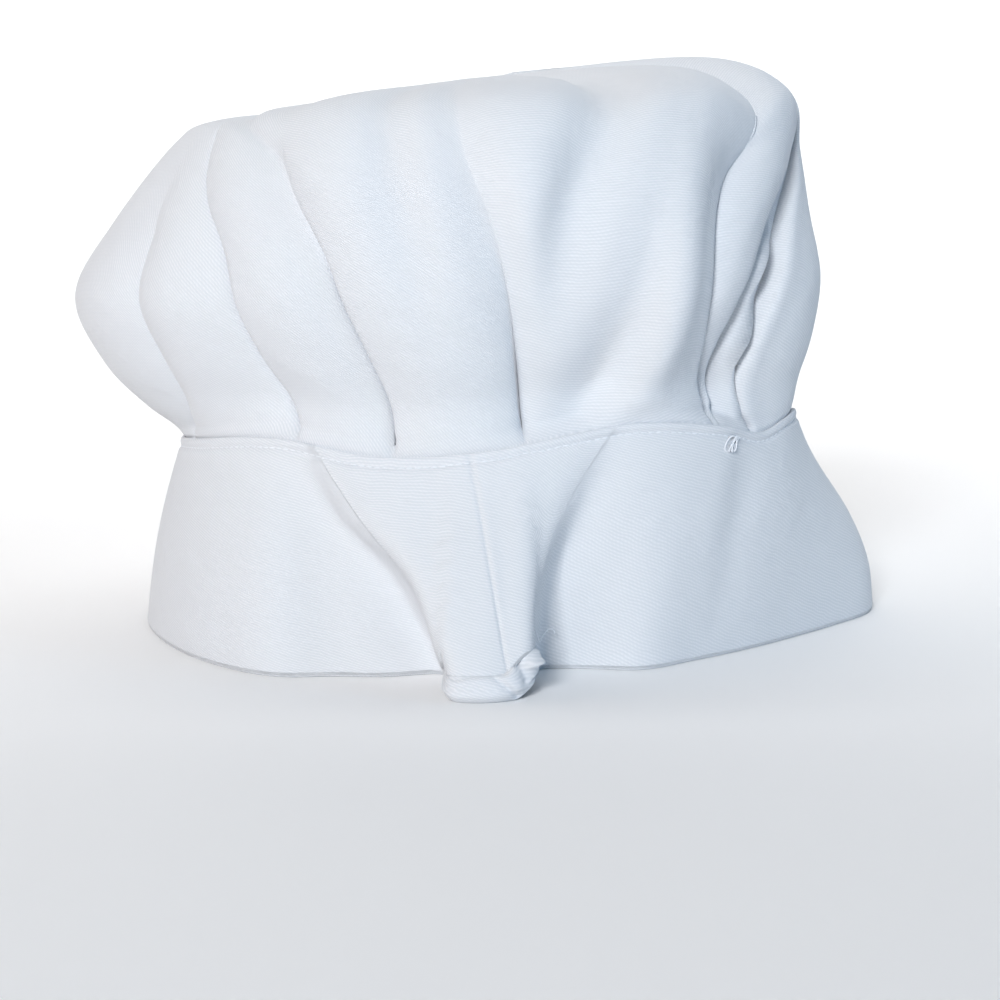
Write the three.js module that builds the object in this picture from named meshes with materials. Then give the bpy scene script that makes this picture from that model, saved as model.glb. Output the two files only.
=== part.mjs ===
// A floppy cloth chef hat: a gathered crown of one round of twill, sewn into a double band,
// with an elastic casing at the centre back that draws the hem together.
//
// Millimetres. +Z is up and the hem rests on z = 0. The centre back, with the casing, faces -Y,
// and +X is to the right of someone who looks at the back. Angles run round the hat in degrees:
// 0 at the centre back, 90 at the +X side, 180 at the front and -90 at the -X side.

import * as THREE from 'three';

// Driving dimensions

const CENTRE_X = 1.6;
const CENTRE_Y = 1.7;

const CROWN_WALL = 1.5;
const BAND_WALL = 2.0;
const GAP = 0.35;
const GATHER_ROOM = 0.9;

const SEAM_HALF_WIDTH = 99.7;
const SEAM_HALF_DEPTH = 80.2;
const TUCK_DEPTH = 7.0;
const TUCK_INSET = BAND_WALL / 2 + GAP + GATHER_ROOM + CROWN_WALL / 2;

const CASING_THICKNESS = 4.6;
const CASING_HEIGHT = 7.6;
const CASING_RUFFLE_HEIGHT = 13.5;
const CASING_PUCKER = 0.7;

// The radius that turns angles across a fold into lengths, and how rounded a crease's step is.
const FOLD_RADIUS = 95;
const CREASE_SOFTNESS = 1.8;

const CLOTH_WHITE = '#f1f2f4';

// The top edge of the band: its height and how far it is drawn in, round the hat.
const SEAM = [
  { angle: -135, z: 60.0, inset: 0.0 },
  { angle: -90, z: 59.5, inset: 0.8 },
  { angle: -65, z: 62.5, inset: 0.0 },
  { angle: -39, z: 66.3, inset: 0.6 },
  { angle: -18, z: 62.7, inset: -0.4 },
  { angle: 0, z: 65.0, inset: -0.6 },
  { angle: 14, z: 69.5, inset: 1.2 },
  { angle: 27, z: 72.0, inset: 1.2 },
  { angle: 45, z: 69.4, inset: 0.0 },
  { angle: 56, z: 66.0, inset: 0.8 },
  { angle: 66, z: 69.0, inset: 0.2 },
  { angle: 78, z: 70.0, inset: 1.2 },
  { angle: 90, z: 65.5, inset: 3.0 },
  { angle: 100, z: 64.0, inset: 2.4 },
  { angle: 135, z: 61.0, inset: 0.0 },
  { angle: 180, z: 62.0, inset: 0.0 },
];

// The hem on the floor, without the fold at the centre back: its distance from the middle.
const HEM = [
  { angle: -150, radius: 95.0 },
  { angle: -120, radius: 107.0 },
  { angle: -97, radius: 112.5 },
  { angle: -82, radius: 111.5 },
  { angle: -65, radius: 109.0 },
  { angle: -50, radius: 107.5 },
  { angle: -37, radius: 104.8 },
  { angle: -28, radius: 97.2 },
  { angle: -18, radius: 91.5 },
  { angle: -10, radius: 87.0 },
  { angle: 0, radius: 83.5 },
  { angle: 12, radius: 78.0 },
  { angle: 20, radius: 79.5 },
  { angle: 30, radius: 88.0 },
  { angle: 42, radius: 88.8 },
  { angle: 55, radius: 92.6 },
  { angle: 69, radius: 100.8 },
  { angle: 80, radius: 112.0 },
  { angle: 90, radius: 125.5 },
  { angle: 100, radius: 128.5 },
  { angle: 118, radius: 115.0 },
  { angle: 145, radius: 98.0 },
  { angle: 180, radius: 91.0 },
];

// Sections of the crown from the band's top edge (t = 0.05) to the middle of the top (t = 1).
// Each side has its distance from the middle and its height.
const CROWN_SECTIONS = [
  { t: 0.05, left: [96.7, 59.0], back: [77.2, 65.0], right: [96.7, 64.5], front: [77.2, 61.5] },
  { t: 0.09, left: [100.5, 62.8], back: [77.6, 69.5], right: [98.8, 67.5], front: [78.5, 65.0] },
  { t: 0.18, left: [112.5, 70.5], back: [80.5, 79.0], right: [102.5, 77.5], front: [86.0, 71.5] },
  { t: 0.28, left: [124.5, 84.0], back: [86.5, 92.5], right: [105.5, 92.5], front: [100.0, 84.0] },
  { t: 0.40, left: [132.5, 105.5], back: [92.5, 111.0], right: [106.5, 112.0], front: [113.5, 101.0] },
  { t: 0.52, left: [119.5, 128.0], back: [94.5, 132.0], right: [102.0, 132.0], front: [111.0, 122.0] },
  { t: 0.64, left: [99.0, 153.0], back: [89.0, 151.0], right: [99.0, 153.0], front: [96.0, 142.0] },
  { t: 0.74, left: [87.0, 158.5], back: [74.0, 165.0], right: [94.5, 171.0], front: [73.0, 156.0] },
  { t: 0.86, left: [47.0, 162.5], back: [40.0, 170.5], right: [66.0, 180.0], front: [36.0, 167.0] },
  { t: 1.00, left: [0.0, 173.5], back: [0.0, 173.5], right: [0.0, 173.5], front: [0.0, 173.5] },
];

// The crown's gathers, with their angles and depths at five stations up the crown. flanks are the
// widths of the sides toward smaller and larger angles. over is 1 where the cloth on the +angle
// side lies over the other side, -1 where it lies under, and 0 for a plain valley. The side that
// lies over stands out by the share step of the depth. A ridge is a valley of negative depth.
const CROWN_STATIONS = [0.06, 0.25, 0.45, 0.65, 0.85];
const CROWN_FOLDS = [
  { name: 'left tuck', over: 1, step: 0.4, flanks: [10, 6],
    angles: [-68, -57, -55.5, -66, -72], depths: [4, 9, 8, 0, 0] },
  { name: 'corner crease', over: 1, step: 0.35, flanks: [14, 7],
    angles: [-34.5, -34.5, -37, -57, -61], depths: [4, 9, 9, 3, 0] },
  { name: 'left middle crease', over: 1, step: 0.4, flanks: [10, 5],
    angles: [-15.4, -16, -20.7, -37, -42], depths: [4, 7.5, 7, 3, 0] },
  { name: 'upper left valley', over: 0, step: 0, flanks: [7, 5],
    angles: [-8, -8, -9.5, -16, -20], depths: [0, 0, 2.5, 4, 0.5] },
  { name: 'back crease', over: 1, step: 0.25, flanks: [9, 5],
    angles: [7, 5.8, 3, -3.5, -8], depths: [5, 9, 9, 5, 0.5] },
  { name: 'upper back valley', over: 0, step: 0, flanks: [9, 10],
    angles: [11, 9.5, 9.5, 14, 20], depths: [0, 1.5, 6, 6, 2.5] },
  { name: 'right hollow', over: 0, step: 0, flanks: [12, 7],
    angles: [14.5, 21, 25, 28, 32], depths: [4, 7, 3, 0, 0] },
  { name: 'right ridge', over: 0, step: 0, flanks: [6, 9],
    angles: [26, 27.2, 31.8, 37, 48], depths: [-2, -5, -4, -2, 0] },
  { name: 'deep right crease', over: -1, step: 0.35, flanks: [11, 9],
    angles: [42, 39, 40.5, 49, 62], depths: [5, 9, 10, 9, 3] },
  { name: 'near lobe crease', over: -1, step: 0.8, flanks: [5, 7],
    angles: [45, 47.5, 57, 71, 84], depths: [5, 16, 18, 13, 2] },
  { name: 'small right ridge', over: 0, step: 0, flanks: [3, 3],
    angles: [51.5, 52.5, 60, 75, 86], depths: [-3, -6, -5, 0, 0] },
  { name: 'far lobe crease', over: 1, step: 0.4, flanks: [8, 5],
    angles: [56, 56.5, 67, 84, 94], depths: [4, 6, 7, 4, 1] },
  { name: 'right side valley', over: 0, step: 0, flanks: [11, 11],
    angles: [79, 82, 86, 95, 100], depths: [2.5, 4, 4, 4, 2] },
  { name: 'front right crease 1', over: -1, step: 0.35, flanks: [7, 12],
    angles: [97, 99, 101, 108, 110], depths: [5, 8, 7, 3, 0] },
  { name: 'front right valley', over: 0, step: 0, flanks: [10, 10],
    angles: [113, 113, 112, 120, 122], depths: [2, 4, 5, 4, 1] },
  { name: 'front right crease 2', over: 1, step: 0.35, flanks: [13, 7],
    angles: [128, 129, 130, 131, 130], depths: [5, 9, 7, 2, 0] },
  { name: 'front valley 1', over: 0, step: 0, flanks: [10, 10],
    angles: [144, 146, 147, 148, 148], depths: [2, 4, 5, 5, 1] },
  { name: 'front crease 1', over: -1, step: 0.35, flanks: [7, 12],
    angles: [159, 160, 162, 164, 165], depths: [5, 8, 7, 1.5, 0] },
  { name: 'front valley 2', over: 0, step: 0, flanks: [10, 10],
    angles: [174, 176, 178, 180, 182], depths: [2.5, 4, 5.5, 5, 1.5] },
  { name: 'front crease 2', over: 1, step: 0.35, flanks: [12, 7],
    angles: [190, 191, 193, 194, 194], depths: [5, 8, 7, 1.5, 0] },
  { name: 'front valley 3', over: 0, step: 0, flanks: [10, 10],
    angles: [205, 206, 207, 207, 206], depths: [2, 4, 5, 5, 1] },
  { name: 'front left crease', over: -1, step: 0.35, flanks: [7, 13],
    angles: [220, 219, 218, 217, 215], depths: [5, 9, 7, 2, 0] },
  { name: 'front left valley', over: 0, step: 0, flanks: [10, 10],
    angles: [235, 233, 231, 229, 228], depths: [2, 4, 5, 4, 1] },
  { name: 'left front crease', over: 1, step: 0.35, flanks: [12, 7],
    angles: [250, 248, 245, 242, 240], depths: [5, 8, 7, 2, 0] },
  { name: 'left side valley', over: 0, step: 0, flanks: [9, 9],
    angles: [268, 266, 264, 262, 260], depths: [3, 4, 3, 3, 0.5] },
];

// The band's folds, at five stations from the hem (s = 0) to the top edge (s = 1).
const BAND_STATIONS = [0, 0.25, 0.5, 0.75, 1];
const BAND_FOLDS = [
  { name: 'left valley', over: 0, step: 0, flanks: [9, 9],
    angles: [-27, -29.5, -31.5, -31, -33], depths: [2, 3, 3, 2, 0.5] },
  { name: 'left foot', over: 0, step: 0, flanks: [9, 7],
    angles: [-11, -15, -20, -29, -36], depths: [4, 5, 4, 2, 0] },
  { name: 'right foot', over: 0, step: 0, flanks: [8, 8],
    angles: [11, 11.5, 13, 17, 22], depths: [2, 3, 4, 3, 0.5] },
  { name: 'right valley', over: 0, step: 0, flanks: [8, 8],
    angles: [46, 47.5, 48.5, 50, 50.5], depths: [0, 0.8, 1.6, 1.8, 0.6] },
  { name: 'right belly', over: 0, step: 0, flanks: [28, 28],
    angles: [93, 93, 93, 93, 93], depths: [0, -4.5, -5, -3, 0] },
];

// The fold at the centre back that stands out from the band between two edges, from the hem up.
// Its left side is a rounded step, and its right side is a shoulder with a hollow flank.
const BACK_FOLD = {
  reach: [26.5, 18.5, 11.2, 4.6, 0],
  leftAngles: [-6.5, -10.5, -16, -24.5, -33],
  rightAngles: [6.6, 7.3, 9, 13.5, 20],
  leftSoftness: [1.7, 2.2, 4.5, 8, 10],
  rightSoftness: [1.2, 1.5, 2.4, 4.5, 6],
  rightFlank: [4, 5, 7, 9, 10],
};

// Curves through tables

const RADIANS = Math.PI / 180;

function smoothStep(x, from, to) {
  const s = Math.min(Math.max((x - from) / (to - from), 0), 1);
  return s * s * (3 - 2 * s);
}

// A smooth curve through the points (xs, ys), flat beyond its ends.
function curve(xs, ys, x) {
  const last = xs.length - 1;
  if (x <= xs[0]) return ys[0];
  if (x >= xs[last]) return ys[last];
  let i = 0;
  while (x > xs[i + 1]) i += 1;
  const slope = (k) => {
    const a = Math.max(k - 1, 0);
    const b = Math.min(k + 1, last);
    return (ys[b] - ys[a]) / (xs[b] - xs[a]);
  };
  const h = xs[i + 1] - xs[i];
  const s = (x - xs[i]) / h;
  return ys[i] * (1 + 2 * s) * (1 - s) ** 2
    + slope(i) * h * s * (1 - s) ** 2
    + ys[i + 1] * s * s * (3 - 2 * s)
    + slope(i + 1) * h * s * s * (s - 1);
}

// A smooth closed curve round the hat through a table's column.
function curveAround(rows, column, angle) {
  const before = rows.slice(-2).map((row) => ({ ...row, angle: row.angle - 360 }));
  const after = rows.slice(0, 2).map((row) => ({ ...row, angle: row.angle + 360 }));
  const all = [...before, ...rows, ...after];
  const start = rows[0].angle;
  const turned = start + ((((angle - start) % 360) + 360) % 360);
  return curve(all.map((row) => row.angle), all.map((row) => row[column]), turned);
}

// The difference between two angles, from -180 to 180 degrees.
function turn(angle, from) {
  return ((((angle - from + 180) % 360) + 360) % 360) - 180;
}

// How far a table's folds push the cloth outward at an angle and a height.
// A valley is a soft groove. A crease falls steeply to its line on both sides and has a step there.
function foldPush(folds, stations, angle, height) {
  let push = 0;
  for (const fold of folds) {
    const across = turn(angle, curve(stations, fold.angles, height)) * RADIANS * FOLD_RADIUS;
    const depth = curve(stations, fold.depths, height);
    const flank = across < 0 ? fold.flanks[0] : fold.flanks[1];
    if (fold.over === 0) {
      push -= depth * Math.exp(-((across / flank) ** 2));
    } else {
      const upper = 0.5 * (1 + Math.tanh((across * fold.over) / CREASE_SOFTNESS));
      const rounded = Math.hypot(across, CREASE_SOFTNESS) - CREASE_SOFTNESS;
      push -= depth * (1 - fold.step * upper) * Math.exp(-rounded / flank);
    }
  }
  return push;
}

// How much of the back fold is reached at an angle: 0 beside it and 1 on its face.
function backFoldShare(angle, s) {
  const fromBack = turn(angle, 0);
  const left = (fromBack - curve(BAND_STATIONS, BACK_FOLD.leftAngles, s)) * RADIANS * FOLD_RADIUS;
  const right = (fromBack - curve(BAND_STATIONS, BACK_FOLD.rightAngles, s)) * RADIANS * FOLD_RADIUS;
  const rise = 0.5 * (1 + Math.tanh(left / curve(BAND_STATIONS, BACK_FOLD.leftSoftness, s)));
  const softness = curve(BAND_STATIONS, BACK_FOLD.rightSoftness, s);
  const bent = Math.min(Math.max((2 * right) / softness, -30), 30);
  const past = Math.log1p(Math.exp(bent)) * softness / 2;
  return rise * Math.exp(-past / curve(BAND_STATIONS, BACK_FOLD.rightFlank, s));
}

// The casing runs along the back fold's hem between these angles. Its height grows to the ruffle.
const CASING_START = -7.1;
const CASING_END = 7.4;

function casingHeight(angle) {
  const ruffle = smoothStep(angle, 1.5, 6.0) * (1 - 0.3 * smoothStep(angle, 6.2, 7.4));
  return CASING_HEIGHT + (CASING_RUFFLE_HEIGHT - CASING_HEIGHT) * ruffle;
}

// The band's lower edge: on the floor, and above the casing at the centre back.
function hemHeight(angle) {
  const start = smoothStep(angle, CASING_START - 1.6, CASING_START - 0.5);
  const end = 1 - smoothStep(angle, CASING_END + 0.5, CASING_END + 1.6);
  return (casingHeight(angle) + 2 * GAP) * start * end;
}

// The middle of the band's cloth. When lowered, the cloth reaches down to the floor everywhere.
function bandPoint(angle, s, reachesFloor = false) {
  const sin = Math.sin(angle * RADIANS);
  const cos = Math.cos(angle * RADIANS);
  const hem = curveAround(HEM, 'radius', angle);
  const inset = curveAround(SEAM, 'inset', angle);
  const top = curveAround(SEAM, 'z', angle);
  const belly = 2.0 * Math.sin(Math.PI * s);
  const push = curve(BAND_STATIONS, BACK_FOLD.reach, s) * backFoldShare(angle, s)
    + foldPush(BAND_FOLDS, BAND_STATIONS, angle, s)
    + belly;
  const across = hem + (SEAM_HALF_WIDTH - inset - hem) * s + push;
  const along = hem + (SEAM_HALF_DEPTH - inset - hem) * s + push;
  const bottom = reachesFloor ? 0 : hemHeight(turn(angle, 0));
  return new THREE.Vector3(
    CENTRE_X + across * sin,
    CENTRE_Y - along * cos,
    bottom + (top - bottom) * s,
  );
}

// The crown without folds. Four sections are blended round it, and near the seam the bulge of the
// left and right sections stays close to the sides.
function crownBase(angle, t) {
  const sin = Math.sin(angle * RADIANS);
  const cos = Math.cos(angle * RADIANS);
  const stations = CROWN_SECTIONS.map((row) => row.t);
  const at = (section, k) => curve(stations, CROWN_SECTIONS.map((row) => row[section][k]), t);
  const side = sin < 0 ? 'left' : 'right';
  const end = cos > 0 ? 'back' : 'front';
  const start = CROWN_SECTIONS[0];
  const nearSeam = 1 - smoothStep(t, 0.05, 0.45);
  const inset = curveAround(SEAM, 'inset', angle) * nearSeam;
  const straight = start[side][0] + at(end, 0) - start[end][0];
  const sideShare = 1 - (1 - Math.abs(sin) ** 1.5) * (1 - smoothStep(t, 0.1, 0.4));
  const sideRadius = straight + (at(side, 0) - straight) * sideShare;
  const seamHere = sin * sin * start[side][1] + cos * cos * start[end][1];
  const height = sin * sin * at(side, 1) + cos * cos * at(end, 1);
  return new THREE.Vector3(
    CENTRE_X + (sideRadius - inset) * sin,
    CENTRE_Y - (at(end, 0) - inset) * cos,
    height + (curveAround(SEAM, 'z', angle) - seamHere) * nearSeam,
  );
}

// The middle of the crown's cloth. Below t = 0.05 it is tucked inside the band.
function crownPoint(angle, t) {
  const outward = new THREE.Vector3(Math.sin(angle * RADIANS), -Math.cos(angle * RADIANS), 0);
  if (t < 0.05) {
    const top = curveAround(SEAM, 'z', angle);
    const s = 1 - ((0.05 - t) / 0.05) * (TUCK_DEPTH / top);
    return bandPoint(angle, s).addScaledVector(outward, -TUCK_INSET);
  }
  const freed = smoothStep(t, 0.045, 0.12) * (1 - smoothStep(t, 0.86, 1));
  const push = foldPush(CROWN_FOLDS, CROWN_STATIONS, angle, t) * freed;
  const lift = smoothStep(t, 0.5, 0.8);
  const direction = outward.multiplyScalar(1 - lift).add(new THREE.Vector3(0, 0, lift));
  return crownBase(angle, t).addScaledVector(direction.normalize(), push);
}

// Shells

// The outward normal of a surface from small steps along both of its directions.
function surfaceNormal(surface, angle, t) {
  const dAngle = surface(angle + 0.4, t).sub(surface(angle - 0.4, t));
  const low = Math.max(t - 0.004, 0);
  const high = Math.min(t + 0.004, 1);
  const dT = surface(angle, high).sub(surface(angle, low));
  return dAngle.cross(dT).normalize();
}

// The angles of the columns at a height: along each fold's line, beside each crease, and evenly
// between. gaps says how many steps lie between two neighbouring lines.
function columnLines(folds, besideCrease) {
  const lines = [];
  for (const fold of folds) {
    const offsets = fold.over === 0 ? [0] : [-besideCrease, 0, besideCrease];
    offsets.forEach((offset) => lines.push({ angles: fold.angles.map((angle) => angle + offset) }));
  }
  return lines;
}

function columnGaps(lines, largestStep) {
  return lines.map((line, i) => {
    const next = lines[(i + 1) % lines.length];
    const wrap = i === lines.length - 1 ? 360 : 0;
    const spans = line.angles.map((angle, k) => next.angles[k] + wrap - angle);
    return Math.max(1, Math.round(Math.max(...spans.slice(0, 4)) / largestStep));
  });
}

function columnAngles(lines, gaps, stations, height) {
  const at = lines.map((line) => curve(stations, line.angles, height));
  const angles = [];
  lines.forEach((line, i) => {
    const next = i === lines.length - 1 ? at[0] + 360 : at[i + 1];
    for (let k = 0; k < gaps[i]; k += 1) angles.push(at[i] + ((next - at[i]) * k) / gaps[i]);
  });
  return angles;
}

// Adds two triangles for a quad, split along its shorter diagonal.
function addQuad(points, triangles, a, b, c, d) {
  const first = points[a].distanceTo(points[c]);
  const second = points[b].distanceTo(points[d]);
  if (first <= second) triangles.push([a, b, c], [a, c, d]);
  else triangles.push([a, b, d], [b, c, d]);
}

function toMesh(name, points, triangles, color, roughness) {
  const geometry = new THREE.BufferGeometry();
  const coordinates = points.flatMap((p) => [p.x, p.y, p.z]);
  geometry.setAttribute('position', new THREE.Float32BufferAttribute(coordinates, 3));
  geometry.setIndex(triangles.flat());
  geometry.computeVertexNormals();
  const material = new THREE.MeshStandardMaterial({ color, roughness, metalness: 0 });
  const mesh = new THREE.Mesh(geometry, material);
  mesh.name = name;
  return mesh;
}

// Joins two nested rings of points, outer and inner rows, into one closed shell.
// Rows run upward. With a pole, the last row of each side is a single point.
function closeShell(outer, inner, outerPole, innerPole) {
  const points = [];
  const index = (rows) => rows.map((row) => row.map((point) => points.push(point) - 1));
  const outside = index(outer);
  const inside = index(inner);
  const count = outer[0].length;
  const top = outer.length - 1;
  const triangles = [];
  for (let i = 0; i < count; i += 1) {
    const j = (i + 1) % count;
    for (let k = 0; k < top; k += 1) {
      addQuad(points, triangles, outside[k][i], outside[k][j], outside[k + 1][j], outside[k + 1][i]);
      addQuad(points, triangles, inside[k][j], inside[k][i], inside[k + 1][i], inside[k + 1][j]);
    }
    addQuad(points, triangles, inside[0][i], inside[0][j], outside[0][j], outside[0][i]);
    if (!outerPole) {
      addQuad(points, triangles, outside[top][i], outside[top][j], inside[top][j], inside[top][i]);
    }
  }
  if (outerPole) {
    const above = points.push(outerPole) - 1;
    const below = points.push(innerPole) - 1;
    for (let i = 0; i < count; i += 1) {
      const j = (i + 1) % count;
      triangles.push([outside[top][i], outside[top][j], above]);
      triangles.push([inside[top][j], inside[top][i], below]);
    }
  }
  return { points, triangles };
}

function buildCrown() {
  const rows = [0, 0.028, 0.05, 0.075, 0.105, 0.145, 0.195, 0.25, 0.31, 0.37];
  for (let t = 0.43; t < 0.8; t += 0.06) rows.push(t);
  rows.push(0.86, 0.93);
  const folds = [...CROWN_FOLDS].sort((a, b) => a.angles[1] - b.angles[1]);
  const lines = columnLines(folds, 1.3);
  const gaps = columnGaps(lines, 7);
  const outer = [];
  const inner = [];
  for (const t of rows) {
    const angles = columnAngles(lines, gaps, CROWN_STATIONS, t);
    const middle = angles.map((angle) => crownPoint(angle, t));
    const normals = angles.map((angle) => surfaceNormal(crownPoint, angle, t));
    outer.push(middle.map((point, i) => point.clone().addScaledVector(normals[i], CROWN_WALL / 2)));
    inner.push(middle.map((point, i) => point.clone().addScaledVector(normals[i], -CROWN_WALL / 2)));
  }
  const pole = crownPoint(0, 1);
  const above = pole.clone().add(new THREE.Vector3(0, 0, CROWN_WALL / 2));
  const below = pole.clone().add(new THREE.Vector3(0, 0, -CROWN_WALL / 2));
  const { points, triangles } = closeShell(outer, inner, above, below);
  return toMesh('crown', points, triangles, CLOTH_WHITE, 0.92);
}

function bandLines() {
  const edge = (angles, offset) => ({ angles: angles.map((angle) => angle + offset) });
  const lines = [];
  for (const fold of [BAND_FOLDS[0], BAND_FOLDS[3]]) lines.push(edge(fold.angles, 0));
  for (const offset of [-3.4, -2.2, -1.1, 0, 1.1]) lines.push(edge(BACK_FOLD.leftAngles, offset));
  for (const offset of [-3.0, -2.0, -1.1, 0, 1.1, 2.2, 3.4, 5.0]) {
    lines.push(edge(BACK_FOLD.rightAngles, offset));
  }
  return lines.sort((a, b) => a.angles[1] - b.angles[1]);
}

function buildBand() {
  const rows = [0, 0.1, 0.23, 0.38, 0.54, 0.7, 0.84, 0.94, 1];
  const lines = bandLines();
  const gaps = columnGaps(lines, 5.2);
  const outer = [];
  const inner = [];
  for (const s of rows) {
    const angles = columnAngles(lines, gaps, BAND_STATIONS, s);
    const middle = angles.map((angle) => bandPoint(angle, s));
    const normals = angles.map((angle) => surfaceNormal(bandPoint, angle, s));
    if (s === 0 || s === 1) normals.forEach((normal) => normal.setZ(0).normalize());
    outer.push(middle.map((point, i) => point.clone().addScaledVector(normals[i], BAND_WALL / 2)));
    inner.push(middle.map((point, i) => point.clone().addScaledVector(normals[i], -BAND_WALL / 2)));
  }
  const { points, triangles } = closeShell(outer, inner, null, null);
  return toMesh('band', points, triangles, CLOTH_WHITE, 0.92);
}

// The casing is a puckered tube along the back fold's hem, with a flat bottom on the floor.
function buildCasing() {
  const stations = 30;
  // Half of the section, as shares of the thickness and the height. The other half mirrors it.
  const half = [[0.4, 0], [0.5, 0.3], [0.5, 0.7], [0.25, 1]];
  const section = [...half, ...half.map(([side, level]) => [-side, level]).reverse()];
  const points = [];
  for (let i = 0; i <= stations; i += 1) {
    const share = i / stations;
    const angle = CASING_START + (CASING_END - CASING_START) * share;
    const middle = bandPoint(angle, 0, true);
    const ahead = bandPoint(angle + 0.2, 0, true).sub(bandPoint(angle - 0.2, 0, true)).normalize();
    const outward = new THREE.Vector3(ahead.y, -ahead.x, 0);
    const pucker = CASING_PUCKER * Math.sin(share * 2 * Math.PI * 7);
    for (const [side, level] of section) {
      const thickness = CASING_THICKNESS + (side > 0 ? pucker : 0);
      const point = middle.clone().addScaledVector(outward, side * thickness);
      points.push(point.setZ(level * casingHeight(angle)));
    }
  }
  const size = section.length;
  const triangles = [];
  for (let i = 0; i < stations; i += 1) {
    for (let k = 0; k < size; k += 1) {
      const next = (k + 1) % size;
      addQuad(points, triangles, i * size + k, (i + 1) * size + k, (i + 1) * size + next, i * size + next);
    }
  }
  const last = stations * size;
  for (let k = 1; k < size - 1; k += 1) {
    triangles.push([0, k, k + 1]);
    triangles.push([last, last + k + 1, last + k]);
  }
  return toMesh('back-elastic-casing', points, triangles, CLOTH_WHITE, 0.92);
}

const hat = new THREE.Group();
hat.name = 'chef-hat';
hat.add(buildCrown());
hat.add(buildBand());
hat.add(buildCasing());

export default hat;
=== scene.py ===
"""A floppy white chef hat, seen from behind as it stands on its hem.

The hat is a gathered round crown, a double band with a topstitched upper edge, and a puckered
elastic casing at the centre back. Every cloth piece is a parametric surface worked out with numpy
in millimetres and written to a mesh in metres. Angles run round the hat in degrees: 0 at the
centre back (-Y), 90 at the +X side, 180 at the front. The CAD parts keep the same frame.
"""

import logging
import math
from dataclasses import dataclass
from enum import Enum

import bpy
import numpy as np
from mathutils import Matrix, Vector


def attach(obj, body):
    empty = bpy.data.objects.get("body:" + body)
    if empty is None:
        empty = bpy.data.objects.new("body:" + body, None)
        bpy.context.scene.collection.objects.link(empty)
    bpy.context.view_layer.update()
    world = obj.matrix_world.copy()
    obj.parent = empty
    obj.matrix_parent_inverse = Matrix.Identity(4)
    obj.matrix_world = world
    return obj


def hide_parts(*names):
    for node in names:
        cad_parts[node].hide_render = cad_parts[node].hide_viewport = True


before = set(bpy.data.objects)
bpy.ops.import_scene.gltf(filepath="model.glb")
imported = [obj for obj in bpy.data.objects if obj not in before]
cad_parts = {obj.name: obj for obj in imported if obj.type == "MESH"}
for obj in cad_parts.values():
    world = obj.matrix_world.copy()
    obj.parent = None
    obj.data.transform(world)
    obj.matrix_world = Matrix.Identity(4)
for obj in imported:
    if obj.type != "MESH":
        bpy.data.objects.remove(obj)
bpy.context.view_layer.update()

Array = np.ndarray
Numbers = tuple[float, ...]
Triple = tuple[float, float, float]
Item = bpy.types.Object
Finish = bpy.types.Material
LOG = logging.getLogger("chef_hat")
MM = 0.001


# Curves through tables


def smooth_step(x: Array, low: float, high: float) -> Array:
    """Rise smoothly from 0 at low to 1 at high."""
    s = np.clip((np.asarray(x, float) - low) / (high - low), 0.0, 1.0)
    return s * s * (3.0 - 2.0 * s)


def curve(xs: Array, ys: Array, x: Array) -> Array:
    """Follow a smooth curve through points, flat beyond its ends.

    Args:
        xs: rising positions of the points.
        ys: values of the points.
        x: where the curve is wanted, any shape.

    Returns:
        The values at x, by cubic Hermite pieces with the slopes of the neighbouring chords.
    """
    xs = np.asarray(xs, float)
    ys = np.asarray(ys, float)
    before = np.concatenate([xs[:1], xs[:-1]]), np.concatenate([ys[:1], ys[:-1]])
    after = np.concatenate([xs[1:], xs[-1:]]), np.concatenate([ys[1:], ys[-1:]])
    slope = (after[1] - before[1]) / (after[0] - before[0])
    x = np.clip(np.asarray(x, float), xs[0], xs[-1])
    i = np.clip(np.searchsorted(xs, x, side="right") - 1, 0, len(xs) - 2)
    h = xs[i + 1] - xs[i]
    s = (x - xs[i]) / h
    return (
        ys[i] * (1 + 2 * s) * (1 - s) ** 2
        + slope[i] * h * s * (1 - s) ** 2
        + ys[i + 1] * s * s * (3 - 2 * s)
        + slope[i + 1] * h * s * s * (s - 1)
    )


def curve_around(angles: Array, values: Array, x: Array) -> Array:
    """Follow a smooth closed curve round the hat, given at angles in degrees."""
    angles = np.asarray(angles, float)
    values = np.asarray(values, float)
    wide = np.concatenate([angles[-2:] - 360, angles, angles[:2] + 360])
    tall = np.concatenate([values[-2:], values, values[:2]])
    start = angles[0]
    return curve(wide, tall, start + np.mod(np.asarray(x, float) - start, 360.0))


def turn(angle: Array, start: Array) -> Array:
    """Give the difference between two angles, from -180 to 180 degrees."""
    return np.mod(np.asarray(angle) - start + 180.0, 360.0) - 180.0


def xyz(x: Array, y: Array, z: Array) -> Array:
    """Stack three coordinate arrays into points."""
    return np.stack(np.broadcast_arrays(x, y, z), axis=-1)


def unit(v: Array) -> Array:
    """Scale vectors to length 1."""
    return v / np.maximum(np.linalg.norm(v, axis=-1, keepdims=True), 1e-9)


def walked(points: Array) -> Array:
    """Give the length walked along the first axis of the points, from 0."""
    steps = np.linalg.norm(np.diff(points, axis=0), axis=-1)
    return np.concatenate([0 * steps[:1], np.cumsum(steps, axis=0)])


def round_trip(count: int) -> Array:
    """Give evenly spaced angles of one turn in radians."""
    return np.linspace(0, 2 * np.pi, count, endpoint=False)


# Sizes and tables


class Lie(Enum):
    """Which side of a fold line lies on top."""

    VALLEY = 0
    RIGHT_OVER = 1
    LEFT_OVER = -1


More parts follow.
